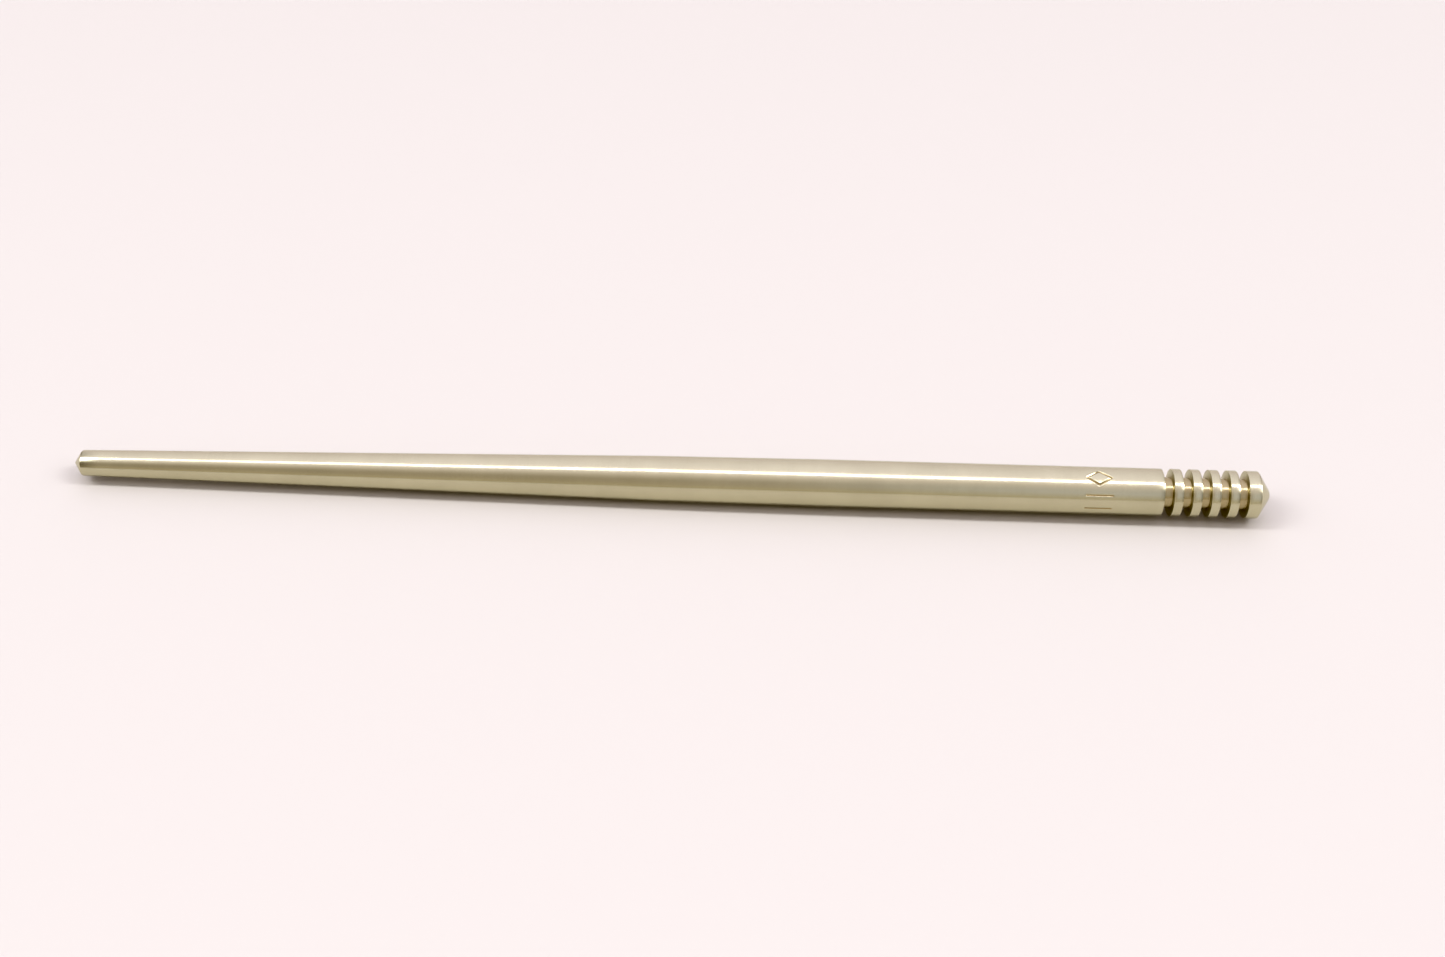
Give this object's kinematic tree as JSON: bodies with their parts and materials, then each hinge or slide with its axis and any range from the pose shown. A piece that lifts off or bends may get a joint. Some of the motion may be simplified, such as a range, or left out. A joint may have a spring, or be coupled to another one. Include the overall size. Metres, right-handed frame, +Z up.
{
  "type": "carburettor jet needle",
  "caption": "Slim tapered metering pin with square clip grooves near its conical head, a straight shank, a slight upper taper, a steeper lower taper and a blunt conical tip.",
  "frame": {"origin": "on the needle's axis, in the middle of the middle clip groove, where the clip holds it", "axes": "+X along the axis towards the head, +Z up when the needle lies on its side"},
  "size_m": [0.063, 0.0026, 0.0026],
  "materials": {
    "needle_metal": "finely ground and hard anodised to a pale champagne tint, satin with a soft shine"
  },
  "bodies": {
    "root": {"jet_needle": "needle_metal"}
  },
  "joints": []
}
